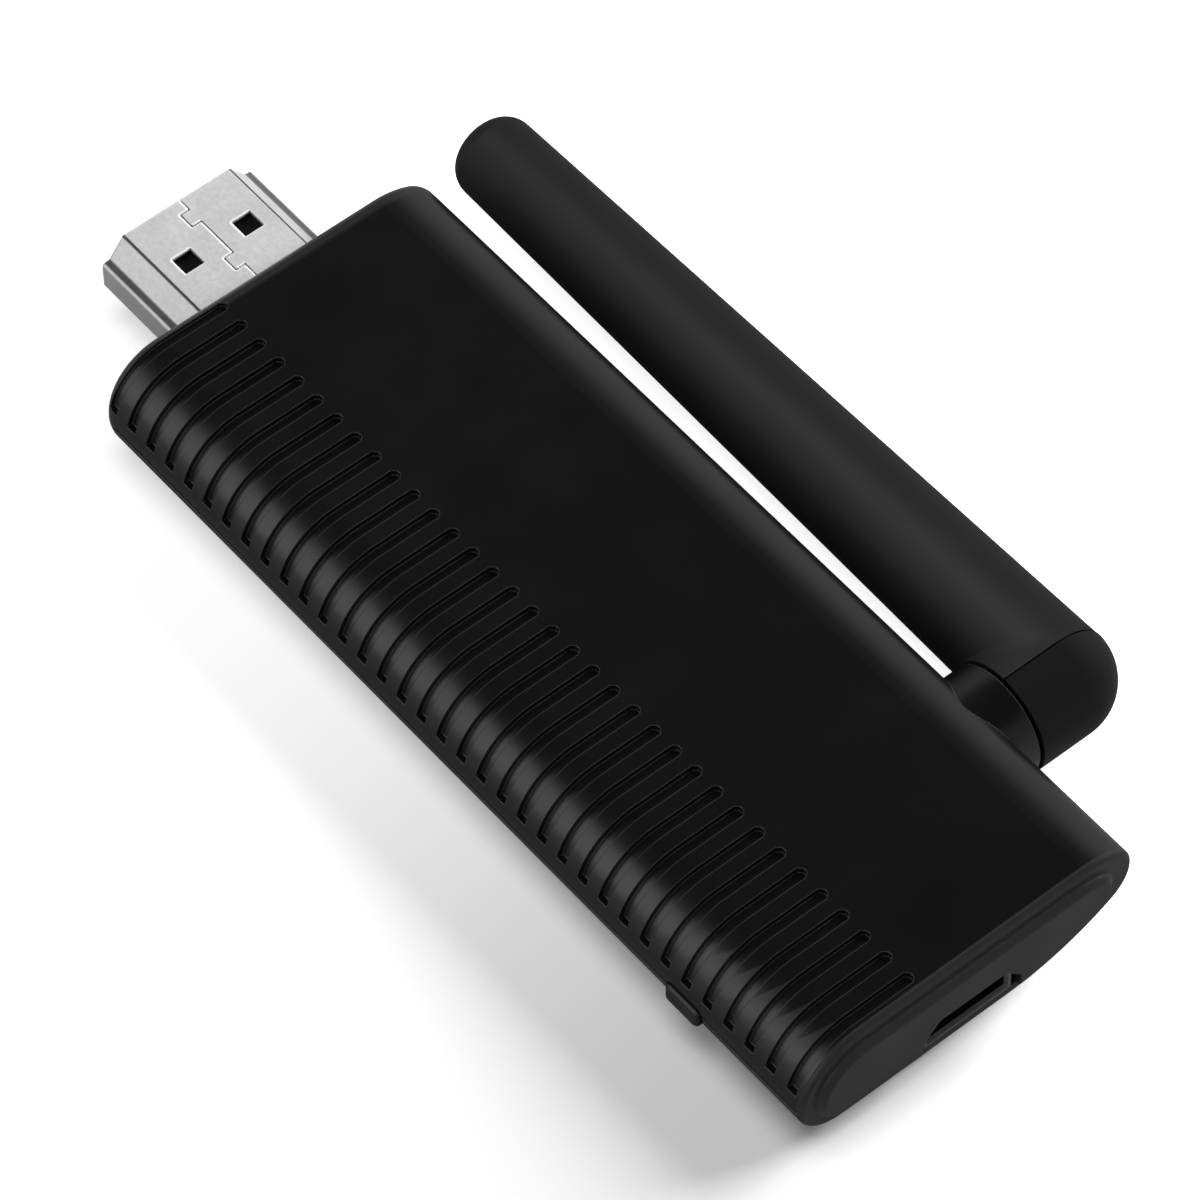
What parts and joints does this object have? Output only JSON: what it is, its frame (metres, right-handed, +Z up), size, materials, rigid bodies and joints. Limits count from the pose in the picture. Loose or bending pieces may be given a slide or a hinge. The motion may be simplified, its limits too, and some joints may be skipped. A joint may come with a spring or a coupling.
{
  "type": "wireless display dongle",
  "caption": "Stick-shaped wireless display receiver with a video plug at one end, a ribbed side, a side button and a swivelling antenna along its other side.",
  "frame": {"origin": "centre of the bounding box at its base, where the folded antenna's barrel touches the surface", "axes": "-X out of the video plug, +X out of the power port, -Y out of the ribbed side and its button, +Y towards the antenna, +Z up"},
  "size_m": [0.088, 0.0419, 0.0099],
  "materials": {
    "shell_black": "fine-grained moulded ABS, matte",
    "antenna_black": "fine-grained moulded TPE over ABS, matte",
    "key_black": "moulded, satin",
    "plug_metal": "bright nickel-plated folded sheet",
    "port_metal": "satin stainless sheet",
    "core_black": "glass-filled, matte",
    "contact_gold": "gold flashed",
    "board_green": "solder mask on glass-epoxy laminate",
    "chip_black": "moulded epoxy",
    "crystal_can": "seam-welded can",
    "ferrite": "pressed ferrite",
    "ceramic_tan": "fired ceramic",
    "spreader_aluminium": "mill finish",
    "pad_grey": "silicone gap filler",
    "steel": "zinc-plated steel",
    "hub_acetal": "natural acetal",
    "ring_rubber": "nitrile",
    "lead_jacket": "fluoropolymer jacket",
    "brass": "drawn",
    "connector_gold": "gold-flashed push-fit coaxial"
  },
  "bodies": {
    "housing": {"top_shell": "shell_black", "bottom_shell": "shell_black", "end_cap": "shell_black", "plug_shell": "plug_metal", "plug_core": "core_black", "plug_contacts": "contact_gold", "main_board": "board_green", "processor": "chip_black", "memory_chips": "chip_black", "flash_chip": "chip_black", "radio_module": "board_green", "radio_shield": "port_metal", "crystals": "crystal_can", "power_coils": "ferrite", "capacitors": "ceramic_tan", "heat_spreader": "spreader_aluminium", "thermal_pad": "pad_grey", "switch_body": "core_black", "port_shell": "port_metal", "port_tongue": "core_black", "port_contacts": "contact_gold", "friction_ring": "ring_rubber", "board_lead": "lead_jacket", "lead_connector": "connector_gold", "board_screws": "steel"},
    "antenna": {"antenna_sleeve": "antenna_black", "elbow_cover": "antenna_black", "pivot_hub": "hub_acetal", "hub_washer": "steel", "hub_clip": "steel", "antenna_radiator": "brass", "antenna_lead": "lead_jacket"},
    "mode_key": {"mode_button": "key_black", "switch_plunger": "hub_acetal"}
  },
  "joints": [
    {"name": "antenna_swivel", "type": "hinge", "parent": "housing", "child": "antenna", "pos_m": [0.02743, 0.0112, 0.0046], "axis": [0, 1, 0], "range_deg": [0, 180]},
    {"name": "mode_press", "type": "slide", "parent": "housing", "child": "mode_key", "axis": [0, 1, 0], "range_m": [0, 0.00025], "stiffness_N_per_m": 2000, "springref_m": -0.0002}
  ]
}
